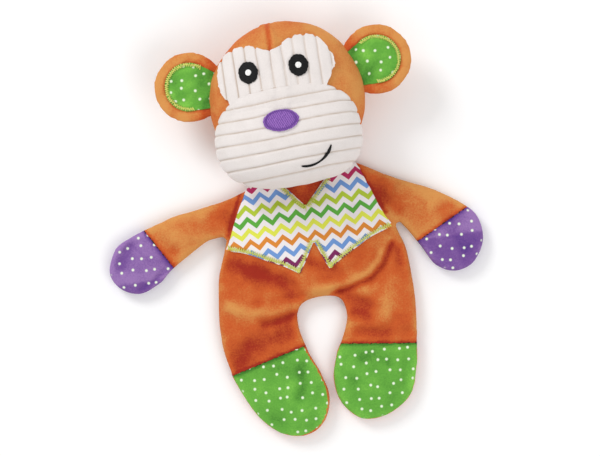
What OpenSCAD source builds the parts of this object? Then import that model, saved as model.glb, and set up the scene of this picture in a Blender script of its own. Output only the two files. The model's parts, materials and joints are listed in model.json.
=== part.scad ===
// Soft rag monkey lying on its back: a stuffed ball head on a flat, lightly filled body.
// +Z points out of the belly, +Y to the top of the head and +X to the right, seen from the front.
// "left" and "right" are as seen from the front. The origin is on the flat back of the body.

/* [Body] */
// Half width across the shoulders
shoulder_half_w = 41; // [34:0.5:50]
// Height of the shoulder points above the middle of the body
shoulder_y = 35; // [30:0.5:42]
// Half width of the body at the armpits
armpit_half_w = 55.5; // [46:0.5:68]
// Height of the armpits above the middle of the body
armpit_y = 2.5; // [-3:0.5:8]
// Half width of the body at the hips
hip_half_w = 69.5; // [58:0.5:84]
// Distance from the middle of the body down to the hip fold
hip_drop = 48; // [38:1:60]
// Thickness of the body above its side seam
body_front_h = 7.5; // [6:0.5:9]
// Half width of the neck
neck_r = 19; // [15:0.5:23]
// Thickness of the neck above the side seam
neck_front_h = 5; // [3:0.5:5.5]
// Height of the side seams above the surface the toy lies on
seam_z = 6.5; // [5.5:0.5:8]

/* [Arms and hands] */
// Length of the left sleeve as it lies, from the shoulder seam to the wrist seam
left_arm_length = 61; // [48:1:74]
// Length of the right sleeve as it lies, a little pushed in
right_arm_length = 56; // [44:1:68]
// Angle by which the left arm hangs below level
left_arm_drop = 18; // [5:1:30]
// Angle by which the right arm hangs below level
right_arm_drop = 35; // [20:1:40]
// Slant of the left wrist seam
left_wrist_slant = 12; // [0:1:20]
// Slant of the right wrist seam
right_wrist_slant = 29; // [10:1:34]
// Length of the wrist seam
wrist_w = 37; // [30:0.5:44]
// Thickness of a sleeve above its seam
arm_front_h = 6; // [5:0.5:7]
// Length of a hand
hand_length = 37; // [30:1:46]
// Thickness of a hand above its seam
hand_front_h = 6; // [5:0.5:7]

/* [Legs and feet] */
// Half width of the gap between the legs
leg_gap_half_w = 13.5; // [10:0.5:18]
// Distance from the hip fold down to the middle of the ankle seam
leg_length = 42; // [34:1:52]
// Length of the ankle seam
ankle_w = 54; // [46:1:58]
// Slope of the left ankle seam
left_ankle_slope = 14; // [4:1:18]
// Slope of the right ankle seam
right_ankle_slope = 8; // [4:1:18]
// Thickness of a leg above its seam
leg_front_h = 7.5; // [6:0.5:9]
// Length of a foot
foot_length = 55; // [45:1:66]
// Thickness of a foot above its seam
foot_front_h = 7; // [6:0.5:8.5]

/* [Head] */
// Half width of the head
head_half_w = 55.5; // [46:0.5:66]
// Half height of the head
head_half_l = 57; // [48:0.5:68]
// Half depth of the head
head_half_d = 32; // [27:0.5:38]
// Sideways shift of the head from the middle of the body
head_shift = -1; // [-5:0.5:5]
// Gap between the neck's end and the pocket in the head
neck_play = 0.6; // [0.4:0.1:1]
// Radius of an ear
ear_r = 24.5; // [20:0.5:29]
// Angle of the ears above the middle of the head
ear_angle = 17; // [5:1:30]
// Thickness of half an ear
ear_half_d = 3.5; // [2.5:0.5:4.5]
// Width of the orange rim around the ear lining
ear_rim_w = 7.5; // [5:0.5:10]
// Gap between an ear and the head
ear_play = 0.8; // [0.5:0.1:1.5]

/* [Face] */
// Sideways shift of the face from the middle of the head
face_shift = -6; // [-10:0.5:0]
// Half width of the muzzle
muzzle_half_w = 51; // [42:0.5:55]
// Half height of the muzzle
muzzle_half_l = 35; // [29:0.5:40]
// Half depth of the muzzle
muzzle_half_d = 32; // [27:0.5:37]
// Distance from the middle of the head down to the middle of the muzzle
muzzle_drop = 24.5; // [20:0.5:30]
// Radius of each lobe of the eye mask
mask_lobe_r = 21; // [17:0.5:24]
// Distance between the eyes
eye_spacing = 34.5; // [28:0.5:40]
// Height of the eyes above the middle of the head
eye_rise = 22; // [18:0.5:26]
// Half width of an eye
eye_half_w = 6.7; // [5:0.1:8.5]
// Half height of an eye
eye_half_l = 7.6; // [6:0.1:9.5]
// Radius of the white dot in an eye
glint_r = 2.1; // [1.4:0.1:3]
// Half width of the nose
nose_half_w = 12.3; // [9:0.1:15]
// Half height of the nose
nose_half_l = 7.4; // [5.5:0.1:9]
// Radius of the curve of the smile
smile_r = 19; // [15:0.5:22]
// Width of the smile's stitching
smile_w = 2.2; // [1.6:0.1:3]

/* [Vest] */
// Distance from the middle of the body down to the vest's two points
vest_point_drop = 33; // [26:0.5:37]
// Distance from the middle of the body down to the vest's side corners
vest_side_drop = 9; // [4:0.5:14]
// Distance from the middle of the body down to the notch between the points
notch_drop = 11.5; // [7:0.5:16]
// Half distance between the vest's two points
vest_point_half_w = 10.8; // [8:0.2:14]
// Height of the bottom of the neckline
neckline_y = 13.5; // [9:0.5:18]
// Half angle of the neckline
neckline_angle = 43; // [35:1:48]
// Distance of the vest's sides from the side seams
vest_margin = 3; // [2:0.5:5]
// Width of the zigzag stitching
zigzag_w = 3.7; // [2.5:0.1:5]

/* [Cloth] */
// Thickness of the plush cloth
cloth = 1.2; // [0.8:0.1:1.8]
// Thickness of the corduroy
corduroy = 1.8; // [1.2:0.1:2.4]
// Thickness of sewn-on cotton and embroidery
applique = 0.8; // [0.5:0.1:1.2]
// Gap between a cloth panel and its filling
fill_play = 0.3; // [0.2:0.1:0.6]
// Gap between a layer of cloth or stitching and the flat cloth under it
layer_play = 0.15; // [0.1:0.05:0.3]
// Gap between two pieces that fold against each other at a seam
seam_play = 0.5; // [0.4:0.1:0.8]

/* [Hidden] */

LEFT = -1;
RIGHT = 1;
orange = "#d2702f";
white = "#ece6e1";
green = "#6cac44";
purple = "#8a64a4";
black = "#1b1a1d";
thread = "#dbe86a";
fibre = "#f4f1ea";

// How full a pillow is at each layer of its height, and the slope of its rim at the seam:
// a rim at least twice as wide as the pillow is high lets two pillows fold square to each other.
LAYERS = [0, 0.3, 0.55, 0.8, 1];
RIM_SLOPE = 2.2;
NARROW_RIM_SLOPE = 1.85;
SKIN = 0.02;
ROUND = 14;
BALL = 36;

head_y = neck_r + armpit_y + 65.5;
head_centre = [head_shift, head_y, head_half_d];
neck_y = shoulder_y + 2;
face_x = head_shift + face_shift;
eye_y = head_y + eye_rise;
muzzle_centre = [head_shift - 2, head_y - muzzle_drop, head_half_d + 9];
ear_root = norm([head_half_w * cos(ear_angle), head_half_l * sin(ear_angle)]) + ear_play;

shoulder = [shoulder_half_w, shoulder_y];
armpit = [armpit_half_w, armpit_y];
seam_run = (armpit - shoulder) / norm(armpit - shoulder);
seam_normal = [-seam_run.y, seam_run.x];

function arm_drop(side) = side == LEFT ? left_arm_drop : right_arm_drop;
function arm_length(side) = side == LEFT ? left_arm_length : right_arm_length;
function wrist_slant(side) = side == LEFT ? left_wrist_slant : right_wrist_slant;
function ankle_slope(side) = side == LEFT ? left_ankle_slope : right_ankle_slope;
function wrist_run(side) = let (a = 90 - arm_drop(side) - wrist_slant(side)) [cos(a), sin(a)];
function wrist_normal(side) = [wrist_run(side).y, -wrist_run(side).x];
function wrist_centre(side) =
    (shoulder + armpit) / 2 + arm_length(side) * [cos(arm_drop(side)), -sin(arm_drop(side))];
function ankle_run(side) = [cos(ankle_slope(side)), -sin(ankle_slope(side))];
function ankle_normal(side) = [ankle_run(side).y, -ankle_run(side).x];
function ankle_centre(side) = [leg_gap_half_w + ankle_w / 2 * ankle_run(side).x, -hip_drop - leg_length];

// A rounded end that starts and stops on the line through centre along run, and reaches out along normal.
function lobe(centre, run, normal, half_w, length, swell) = [
    for (a = [0 : 180 / ROUND : 180])
        centre - run * cos(a) * (half_w + swell * sin(a)) + normal * length * pow(sin(a), 0.85)
];

// Outlines, drawn for the right side.
module torso_outline() {
    polygon([
        [-hip_half_w, -hip_drop], [hip_half_w, -hip_drop], [hip_half_w - 4, -hip_drop * 0.4],
        armpit, shoulder, [neck_r + 3, shoulder_y + 5], [-neck_r - 3, shoulder_y + 5],
        [-shoulder.x, shoulder.y], [-armpit.x, armpit.y], [4 - hip_half_w, -hip_drop * 0.4]
    ]);
}

module neck_outline() {
    hull() {
        translate([head_shift, neck_y]) circle(neck_r, $fn = 2 * ROUND);
        translate([head_shift - neck_r, neck_y - 22]) square([2 * neck_r, 2]);
    }
}

module sleeve_outline(side) {
    wrist = wrist_centre(side) - wrist_normal(side) * seam_play / 2;
    start = seam_normal * seam_play / 2;
    polygon([
        armpit + start, wrist - wrist_run(side) * wrist_w / 2,
        wrist + wrist_run(side) * wrist_w / 2, shoulder + start
    ]);
}

module hand_outline(side) {
    polygon(lobe(
        wrist_centre(side) + wrist_normal(side) * seam_play / 2,
        wrist_run(side), wrist_normal(side), wrist_w / 2, hand_length, 2
    ));
}

module leg_outline(side) {
    ankle = ankle_centre(side) - ankle_normal(side) * seam_play / 2;
    top = -hip_drop - seam_play;
    polygon([
        [leg_gap_half_w, top], ankle - ankle_run(side) * ankle_w / 2,
        ankle + ankle_run(side) * ankle_w / 2, [hip_half_w + 1.5, (ankle.y + top) / 2], [hip_half_w, top]
    ]);
}

module foot_outline(side) {
    polygon(lobe(
        ankle_centre(side) + ankle_normal(side) * seam_play / 2,
        ankle_run(side), ankle_normal(side), ankle_w / 2, foot_length, 4
    ));
}

module ear_outline(rim = 0) {
    difference() {
        translate([ear_root + ear_r / 2, 0]) circle(ear_r - rim, $fn = 2 * ROUND);
        translate([ear_root - 2 * ear_r, -2 * ear_r]) square([2 * ear_r, 4 * ear_r]);
    }
}

module vest_outline() {
    slope = tan(neckline_angle);
    top = shoulder_y - 2;
    polygon([
        [-hip_half_w, -vest_side_drop], [-hip_half_w * 0.6, -vest_side_drop - 6.5],
        [-vest_point_half_w, -vest_point_drop], [2, -notch_drop], [vest_point_half_w, -vest_point_drop],
        [hip_half_w * 0.6, -vest_side_drop - 6.5], [hip_half_w, -vest_side_drop], [hip_half_w, top],
        [1 + slope * (top - neckline_y), top], [1, neckline_y],
        [1 - slope * (top - neckline_y), top], [-hip_half_w, top]
    ]);
}

// Half a pillow over an outline, from its seam up. shrink makes it thinner all over.
module half_pillow(height, slope = RIM_SLOPE, shrink = 0) {
    hull()
        for (f = LAYERS)
            translate([0, 0, f * (height - shrink) - (f == 1 ? SKIN : 0)])
                linear_extrude(SKIN)
                    offset(delta = -1.4 * shrink - slope * height * (1 - sqrt(1 - f)))
                        children();
}

module half_shell(height, slope = RIM_SLOPE) {
    difference() {
        half_pillow(height, slope) children();
        translate([0, 0, -SKIN]) half_pillow(height, slope, cloth) children();
    }
}

module front_shell(height, slope = RIM_SLOPE) {
    translate([0, 0, seam_z]) half_shell(height, slope) children();
}

module back_shell(slope = RIM_SLOPE) {
    translate([0, 0, seam_z]) mirror([0, 0, 1]) half_shell(seam_z, slope) children();
}

module filling(height, slope = RIM_SLOPE) {
    translate([0, 0, seam_z]) {
        half_pillow(height, slope, cloth + fill_play) children();
        mirror([0, 0, 1]) half_pillow(seam_z, slope, cloth + fill_play) children();
    }
}

// Draws its children on the right, or mirrored on the left.
module on_side(side) {
    mirror([side == LEFT ? 1 : 0, 0, 0]) children();
}

// The body

module torso_half(height, neck_height, shrink = 0) {
    half_pillow(height, RIM_SLOPE, shrink) torso_outline();
    half_pillow(neck_height, RIM_SLOPE, shrink) neck_outline();
}

module torso_shell(height, neck_height) {
    difference() {
        torso_half(height, neck_height);
        translate([0, 0, -SKIN]) torso_half(height, neck_height, cloth);
    }
}

module torso_front() {
    color(orange) translate([0, 0, seam_z]) torso_shell(body_front_h, neck_front_h);
}

module torso_back() {
    color(orange) translate([0, 0, seam_z]) mirror([0, 0, 1]) torso_shell(seam_z, seam_z - 1);
}

module torso_filling() {
    color(fibre) translate([0, 0, seam_z]) {
        torso_half(body_front_h, neck_front_h, cloth + fill_play);
        mirror([0, 0, 1]) torso_half(seam_z, seam_z - 1, cloth + fill_play);
    }
}

// A layer of cloth over the front of the body, between two heights above it.
module chest_layer(low, high) {
    translate([0, 0, seam_z]) difference() {
        half_pillow(body_front_h, RIM_SLOPE, -high) torso_outline();
        translate([0, 0, -SKIN]) half_pillow(body_front_h, RIM_SLOPE, -low) torso_outline();
    }
}

module on_chest(low, high) {
    intersection() {
        chest_layer(low, high);
        linear_extrude(body_front_h * 3) intersection() {
            offset(delta = -vest_margin) torso_outline();
            children();
        }
    }
}

module vest() {
    color("#f2ecec") on_chest(layer_play, layer_play + applique) vest_outline();
}

module vest_edge_band() {
    difference() {
        offset(delta = zigzag_w / 2) vest_outline();
        offset(delta = -zigzag_w / 2) vest_outline();
    }
}

module vest_stitching(low_y, high_y) {
    color(thread) on_chest(2 * layer_play + applique, 2 * layer_play + 2 * applique) intersection() {
        vest_edge_band();
        translate([-hip_half_w, low_y]) square([2 * hip_half_w, high_y - low_y]);
    }
}

module vest_hem_stitching() {
    vest_stitching(-vest_point_drop - 3 * zigzag_w, -vest_side_drop + zigzag_w / 2);
}

module vest_neck_stitching() {
    vest_stitching(neckline_y - 2 * zigzag_w, shoulder_y - 4);
}

// The head

module head_ball(grow = 0) {
    translate(head_centre)
        scale([head_half_w + grow, head_half_l + grow, head_half_d + grow])
            rotate([90, 0, 0]) sphere(1, $fn = BALL);
}

module neck_pocket(grow = 0) {
    translate([head_shift, neck_y, -1])
        cylinder(r = neck_r + neck_play + grow, h = seam_z + neck_front_h + neck_play + grow + 1, $fn = 48);
}

module head_panel(side) {
    color(orange) difference() {
        hull() head_ball();
        hull() head_ball(-cloth);
        neck_pocket();
        translate([side == LEFT ? face_x : face_x - 200, -10, -10]) cube([200, 220, 100]);
    }
}

module head_left_panel() { head_panel(LEFT); }
module head_right_panel() { head_panel(RIGHT); }

module head_stuffing() {
    color(fibre) difference() {
        head_ball(-cloth - 3 * fill_play);
        neck_pocket(cloth);
    }
}

module muzzle_ball(grow = 0) {
    translate(muzzle_centre)
        scale([muzzle_half_w + grow, muzzle_half_l + grow, muzzle_half_d + grow])
            rotate([90, 0, 0]) sphere(1, $fn = BALL);
}

module muzzle() {
    color(white) difference() {
        muzzle_ball();
        muzzle_ball(-corduroy);
        head_ball(fill_play);
    }
}

module muzzle_stuffing() {
    color(fibre) difference() {
        muzzle_ball(-corduroy - fill_play);
        head_ball(2 * fill_play);
    }
}

// A layer of cloth over the front half of the head, between two heights above it.
module head_layer(low, high) {
    intersection() {
        difference() {
            head_ball(high);
            head_ball(low);
        }
        translate([-100, 0, head_half_d]) cube([200, 200, 100]);
    }
}

module mask_outline() {
    for (side = [LEFT, RIGHT])
        translate([face_x + side * (eye_spacing / 2 + 1), eye_y - 4]) circle(mask_lobe_r, $fn = 2 * ROUND);
    translate([face_x - eye_spacing / 2, eye_y - 24]) square([eye_spacing, 24]);
}

module eye_mask() {
    color(white) difference() {
        intersection() {
            head_layer(fill_play, corduroy + fill_play);
            linear_extrude(150) mask_outline();
        }
        muzzle_ball(fill_play);
    }
}

module eye_outline(side) {
    translate([face_x + side * eye_spacing / 2, eye_y])
        scale([eye_half_w, eye_half_l]) circle(1, $fn = 2 * ROUND);
}

module eye(side) {
    color(black) intersection() {
        head_layer(corduroy + fill_play, corduroy + fill_play + applique);
        linear_extrude(150) eye_outline(side);
    }
}

module left_eye() { eye(LEFT); }
module right_eye() { eye(RIGHT); }

module eye_glint(side) {
    color(white) intersection() {
        head_layer(corduroy + fill_play + applique, corduroy + fill_play + 1.6 * applique);
        translate([face_x + side * eye_spacing / 2, eye_y]) cylinder(r = glint_r, h = 150, $fn = 24);
    }
}

module left_eye_glint() { eye_glint(LEFT); }
module right_eye_glint() { eye_glint(RIGHT); }

// A layer of embroidery over the front half of the muzzle.
module muzzle_layer(high) {
    intersection() {
        difference() {
            hull() muzzle_ball(fill_play + high);
            hull() muzzle_ball(fill_play);
        }
        translate([-100, 0, muzzle_centre.z]) cube([200, 200, 100]);
    }
}

module nose() {
    color(purple) intersection() {
        muzzle_layer(1.5 * applique);
        translate([face_x, muzzle_centre.y + 0.3 * muzzle_half_l])
            scale([nose_half_w, nose_half_l, 1]) cylinder(r = 1, h = 150, $fn = 2 * ROUND);
    }
}

module smile() {
    color(black) intersection() {
        muzzle_layer(applique);
        translate([face_x + 13.5, muzzle_centre.y - 3.5])
            rotate(-105) rotate_extrude(angle = 85, $fn = 48)
                translate([smile_r - smile_w / 2, 0]) square([smile_w, 150]);
    }
}

// The ears

module ear_place(side) {
    translate([head_centre.x, head_centre.y, head_centre.z])
        on_side(side) rotate(ear_angle) children();
}

module ear_front(side) {
    color(orange) ear_place(side) half_pillow(ear_half_d) ear_outline();
}

module ear_back(side) {
    color(orange) ear_place(side) mirror([0, 0, 1]) half_pillow(ear_half_d) ear_outline();
}

// A layer of cloth over the front of an ear, inside the outline that its children draw.
module ear_layer(side, high) {
    ear_place(side) intersection() {
        difference() {
            half_pillow(ear_half_d, RIM_SLOPE, -layer_play - high) ear_outline();
            translate([0, 0, -SKIN]) half_pillow(ear_half_d, RIM_SLOPE, -layer_play) ear_outline();
        }
        linear_extrude(20) children();
    }
}

module ear_lining(side) {
    color(green) ear_layer(side, applique) ear_outline(ear_rim_w);
}

module ear_stitching(side) {
    color(thread) ear_layer(side, 1.6 * applique) difference() {
        ear_outline(ear_rim_w - zigzag_w);
        ear_outline(ear_rim_w);
    }
}

module left_ear_front() { ear_front(LEFT); }
module left_ear_back() { ear_back(LEFT); }
module left_ear_lining() { ear_lining(LEFT); }
module left_ear_stitching() { ear_stitching(LEFT); }
module right_ear_front() { ear_front(RIGHT); }
module right_ear_back() { ear_back(RIGHT); }
module right_ear_lining() { ear_lining(RIGHT); }
module right_ear_stitching() { ear_stitching(RIGHT); }

// The arms

module sleeve_front(side) {
    color(orange) on_side(side) front_shell(arm_front_h, NARROW_RIM_SLOPE) sleeve_outline(side);
}

module sleeve_back(side) {
    color(orange) on_side(side) back_shell(NARROW_RIM_SLOPE) sleeve_outline(side);
}

module arm_filling(side) {
    color(fibre) on_side(side) filling(arm_front_h, NARROW_RIM_SLOPE) sleeve_outline(side);
}

module hand_front(side) {
    color(purple) on_side(side) front_shell(hand_front_h, NARROW_RIM_SLOPE) hand_outline(side);
}

module hand_back(side) {
    color(purple) on_side(side) back_shell(NARROW_RIM_SLOPE) hand_outline(side);
}

module hand_filling(side) {
    color(fibre) on_side(side) filling(hand_front_h, NARROW_RIM_SLOPE) hand_outline(side);
}

module left_sleeve_front() { sleeve_front(LEFT); }
module left_sleeve_back() { sleeve_back(LEFT); }
module left_arm_filling() { arm_filling(LEFT); }
module right_sleeve_front() { sleeve_front(RIGHT); }
module right_sleeve_back() { sleeve_back(RIGHT); }
module right_arm_filling() { arm_filling(RIGHT); }
module left_hand_front() { hand_front(LEFT); }
module left_hand_back() { hand_back(LEFT); }
module left_hand_filling() { hand_filling(LEFT); }
module right_hand_front() { hand_front(RIGHT); }
module right_hand_back() { hand_back(RIGHT); }
module right_hand_filling() { hand_filling(RIGHT); }

// The legs

module leg_front(side) {
    color(orange) on_side(side) front_shell(leg_front_h) leg_outline(side);
}

module leg_back(side) {
    color(orange) on_side(side) back_shell() leg_outline(side);
}

module leg_filling(side) {
    color(fibre) on_side(side) filling(leg_front_h) leg_outline(side);
}

module foot_front(side) {
    color(green) on_side(side) front_shell(foot_front_h) foot_outline(side);
}

module foot_back(side) {
    color(orange) on_side(side) back_shell() foot_outline(side);
}

module foot_filling(side) {
    color(fibre) on_side(side) filling(foot_front_h) foot_outline(side);
}

module left_leg_front() { leg_front(LEFT); }
module left_leg_back() { leg_back(LEFT); }
module left_leg_filling() { leg_filling(LEFT); }
module right_leg_front() { leg_front(RIGHT); }
module right_leg_back() { leg_back(RIGHT); }
module right_leg_filling() { leg_filling(RIGHT); }
module left_foot_front() { foot_front(LEFT); }
module left_foot_back() { foot_back(LEFT); }
module left_foot_filling() { foot_filling(LEFT); }
module right_foot_front() { foot_front(RIGHT); }
module right_foot_back() { foot_back(RIGHT); }
module right_foot_filling() { foot_filling(RIGHT); }

torso_front();
torso_back();
torso_filling();
vest();
vest_hem_stitching();
vest_neck_stitching();
head_left_panel();
head_right_panel();
head_stuffing();
muzzle();
muzzle_stuffing();
eye_mask();
nose();
smile();
left_eye();
right_eye();
left_eye_glint();
right_eye_glint();
left_ear_front();
left_ear_back();
left_ear_lining();
left_ear_stitching();
right_ear_front();
right_ear_back();
right_ear_lining();
right_ear_stitching();
left_sleeve_front();
left_sleeve_back();
left_arm_filling();
right_sleeve_front();
right_sleeve_back();
right_arm_filling();
left_hand_front();
left_hand_back();
left_hand_filling();
right_hand_front();
right_hand_back();
right_hand_filling();
left_leg_front();
left_leg_back();
left_leg_filling();
right_leg_front();
right_leg_back();
right_leg_filling();
left_foot_front();
left_foot_back();
left_foot_filling();
right_foot_front();
right_foot_back();
right_foot_filling();
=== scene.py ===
import json
import math

import bmesh
import bpy
import numpy as np
from mathutils import Matrix, Vector, noise
from mathutils.bvhtree import BVHTree


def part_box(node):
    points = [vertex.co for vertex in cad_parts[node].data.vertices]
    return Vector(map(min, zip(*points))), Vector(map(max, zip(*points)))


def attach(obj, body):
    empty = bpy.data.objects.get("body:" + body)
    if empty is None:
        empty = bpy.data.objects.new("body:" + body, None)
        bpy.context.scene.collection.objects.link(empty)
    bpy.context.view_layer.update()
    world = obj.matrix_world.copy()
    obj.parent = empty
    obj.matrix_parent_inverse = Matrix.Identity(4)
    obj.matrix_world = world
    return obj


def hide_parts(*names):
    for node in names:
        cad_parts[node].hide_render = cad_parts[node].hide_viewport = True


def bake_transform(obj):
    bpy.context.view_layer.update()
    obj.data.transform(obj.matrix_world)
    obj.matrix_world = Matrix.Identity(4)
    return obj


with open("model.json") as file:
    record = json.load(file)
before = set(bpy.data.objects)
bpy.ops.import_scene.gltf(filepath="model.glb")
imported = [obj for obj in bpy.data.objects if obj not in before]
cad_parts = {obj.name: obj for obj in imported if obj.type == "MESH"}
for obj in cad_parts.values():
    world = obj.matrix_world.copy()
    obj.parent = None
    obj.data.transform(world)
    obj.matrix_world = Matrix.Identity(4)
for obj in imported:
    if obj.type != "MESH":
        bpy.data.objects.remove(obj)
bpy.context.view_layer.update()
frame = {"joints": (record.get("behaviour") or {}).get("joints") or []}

joints = {j["name"]: j for j in frame["joints"]}
scene = bpy.context.scene


# The flat body: an orange plush front and back sewn together all round and turned right side out, with the
# hands and feet let in, and lightly filled through a gap. It is cut flat to the outline below, in
# millimetres, and blown up softly as cloth, held down along the seams of the shoulders, wrists and ankles.
MM = 0.001
SEAM_Z = joints["neck_tilt"]["pos_m"][2]
FLOOR_GAP = 0.3 * MM
SLAB = 7 * MM
CLOTH_CELL = 2.0 * MM
OUTLINE = [
    [(-56, 1.5), (-70, -0.5), (-86, -9), (-98, -16), (-109, -25), (-124, -30), (-137, -24), (-142.5, -12),
     (-136, 4), (-124, 10.5), (-115, 13.5), (-93, 20), (-73, 23), (-41, 30), (-22, 43), (0, 45), (22, 45),
     (38, 40), (67, 24), (92, 12), (113, -3), (120.5, -14), (121, -29), (112, -43), (98, -47), (85, -40),
     (75, -22), (66, -8), (57, 2.5)],
    [(57, 2.5), (62, -10), (67, -28), (68, -56), (66.5, -78), (64.5, -92), (62, -109), (55, -128),
     (38, -139.5), (19, -140.5), (6, -128), (2.5, -110), (7, -93), (13, -82), (18, -68), (15.5, -54),
     (1, -50.8), (-13, -55), (-16.5, -68), (-13, -86), (-6, -104), (-2.5, -122), (-9, -139), (-23, -146),
     (-40, -142), (-55, -127), (-66, -103), (-69, -92), (-72, -70), (-69.5, -42), (-66.5, -25), (-61, -10),
     (-56, 1.5)],
]
SEAM_HALF = {"shoulder": 21, "wrist": 25, "ankle": 33, "hip": 33}
SIDES = {"left": -1, "right": 1}
ARMPITS = {"left": ((-57, 0), (-0.6, 0.8)), "right": ((57, 1), (0.871, 0.492))}


def pick(obj):
    """Selects one object alone and makes it active."""
    bpy.ops.object.select_all(action="DESELECT")
    obj.select_set(True)
    bpy.context.view_layer.objects.active = obj


def apply(obj, kind, **settings):
    """Adds a modifier, sets it and applies it."""
    pick(obj)
    modifier = obj.modifiers.new(kind.title(), kind)
    for key, value in settings.items():
        setattr(modifier, key, value)
    bpy.ops.object.modifier_apply(modifier=modifier.name)


def trace(stretches, step=1.5):
    """Points about every step millimetres along smooth stretches that meet at corners."""
    line = []
    for stretch in stretches:
        p = [np.array(q, float) for q in stretch]
        p = [2 * p[0] - p[1], *p, 2 * p[-1] - p[-2]]
        for a, b, c, d in zip(p, p[1:], p[2:], p[3:]):
            count = max(1, round(float(np.linalg.norm(c - b)) / step))
            for t in np.arange(count) / count:
                line.append(b + 0.5 * ((c - a) * t + (2 * a - 5 * b + 4 * c - d) * t * t
                                       + (3 * b - a - 3 * c + d) * t ** 3))
        line.append(p[-2])
    line = np.array(line)
    return line[np.linalg.norm(line - np.roll(line, 1, axis=0), axis=1) > 1e-6]


def cut_flat(name, loop, thickness, cell):
    """A slab about z = 0 cut to a closed loop of points in millimetres, in even faces as big as a cell."""
    bpy.ops.object.select_all(action="DESELECT")
    bpy.ops.mesh.primitive_circle_add(vertices=len(loop), radius=1, fill_type="NGON")
    slab = bpy.context.object
    slab.name = name
    for v, (x, y) in zip(slab.data.vertices, loop):
        v.co = (x * MM, y * MM, 0)
    apply(slab, "SOLIDIFY", thickness=thickness, offset=0)
    apply(slab, "REMESH", mode="VOXEL", voxel_size=cell)
    return slab


def settle(obj, pinned, frames, pressure, shrink, keep_flat, cap):
    """Blows a sewn piece up as cloth for a number of frames. Each point keeps its rise and a share of its
    sideways travel, capped, so that the piece keeps its cut outline."""
    start = [v.co.copy() for v in obj.data.vertices]
    obj.vertex_groups.new(name="held").add(pinned, 1.0, "REPLACE")
    pick(obj)
    cloth = obj.modifiers.new("Cloth", "CLOTH")
    s = cloth.settings
    s.quality, s.mass, s.air_damping = 4, 0.12, 4
    s.tension_stiffness = s.compression_stiffness = 15
    s.shear_stiffness, s.bending_stiffness = 5, 0.15
    s.tension_damping = s.compression_damping = s.shear_damping = 12
    s.vertex_group_mass = "held"
    s.use_pressure, s.uniform_pressure_force, s.shrink_min = True, pressure, shrink
    s.effector_weights.gravity = 0
    cloth.collision_settings.use_collision = False
    cloth.point_cache.frame_start, cloth.point_cache.frame_end = 1, frames
    for number in range(1, frames + 1):
        scene.frame_set(number)
    pick(obj)
    bpy.ops.object.modifier_apply(modifier=cloth.name)
    scene.frame_set(1)
    for v, begin in zip(obj.data.vertices, start):
        travel = v.co - begin
        travel.xy *= keep_flat
        v.co = begin + travel * min(1, cap / max(travel.length, 1e-9))


def seam_frame(joint):
    """The middle, run and outward side of the seam that a joint folds on, flat and in millimetres."""
    middle = np.array(joints[joint]["pos_m"][:2]) / MM
    run = Vector(joints[joint]["axis"]).xy.normalized()
    side = np.array((run.y, -run.x))
    outward = side if joint.startswith("right") == (side[0] > 0) else -side
    if "hip" in joint or "ankle" in joint:
        outward = side if side[1] < 0 else -side
    return middle, np.array(run), outward


def from_seam(joint, flat):
    """How far flat points lie along a seam from its middle, and how far out past it."""
    middle, run, outward = seam_frame(joint)
    return (flat - middle) @ run, (flat - middle) @ outward


body = cut_flat("flat_body", trace(OUTLINE), SLAB, CLOTH_CELL)
mesh = bmesh.new()
mesh.from_mesh(body.data)
for v in mesh.verts:
    v.co.z += SEAM_Z
seam_names = [side + "_" + part + "_fold" for side in SIDES for part in SEAM_HALF]
for name in seam_names:
    middle, run, outward = seam_frame(name)
    half = SEAM_HALF[name.split("_")[1]]
    centres = np.array([f.calc_center_median().xy for f in mesh.faces]) / MM
    along, out = from_seam(name, centres)
    near = [f for f, a, o in zip(list(mesh.faces), along, out) if abs(a) < half and abs(o) < 4]
    geometry = near + list({e for f in near for e in f.edges}) + list({v for f in near for v in f.verts})
    bmesh.ops.bisect_plane(mesh, geom=geometry, dist=0.35 * MM, plane_co=(*(middle * MM), 0),
                           plane_no=(*outward, 0))
everything = list(mesh.verts) + list(mesh.edges) + list(mesh.faces)
bmesh.ops.bisect_plane(mesh, geom=everything, dist=0.3 * MM, plane_co=(0, 0, SEAM_Z), plane_no=(0, 0, 1))
bmesh.ops.remove_doubles(mesh, verts=mesh.verts, dist=0.3 * MM)
mesh.to_mesh(body.data)
mesh.free()

cut = np.array([v.co for v in body.data.vertices]) / MM
cut[:, 2] -= SEAM_Z / MM
flat = cut[:, :2]
pinned = []
for name in seam_names:
    if "hip" not in name:
        along, out = from_seam(name, flat)
        held = (abs(along) < SEAM_HALF[name.split("_")[1]]) & (abs(out) < 0.4)
        pinned += [int(i) for i in np.flatnonzero(held)]
settle(body, pinned, frames=20, pressure=3.5, shrink=-0.03, keep_flat=0.25, cap=8 * MM)

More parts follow.
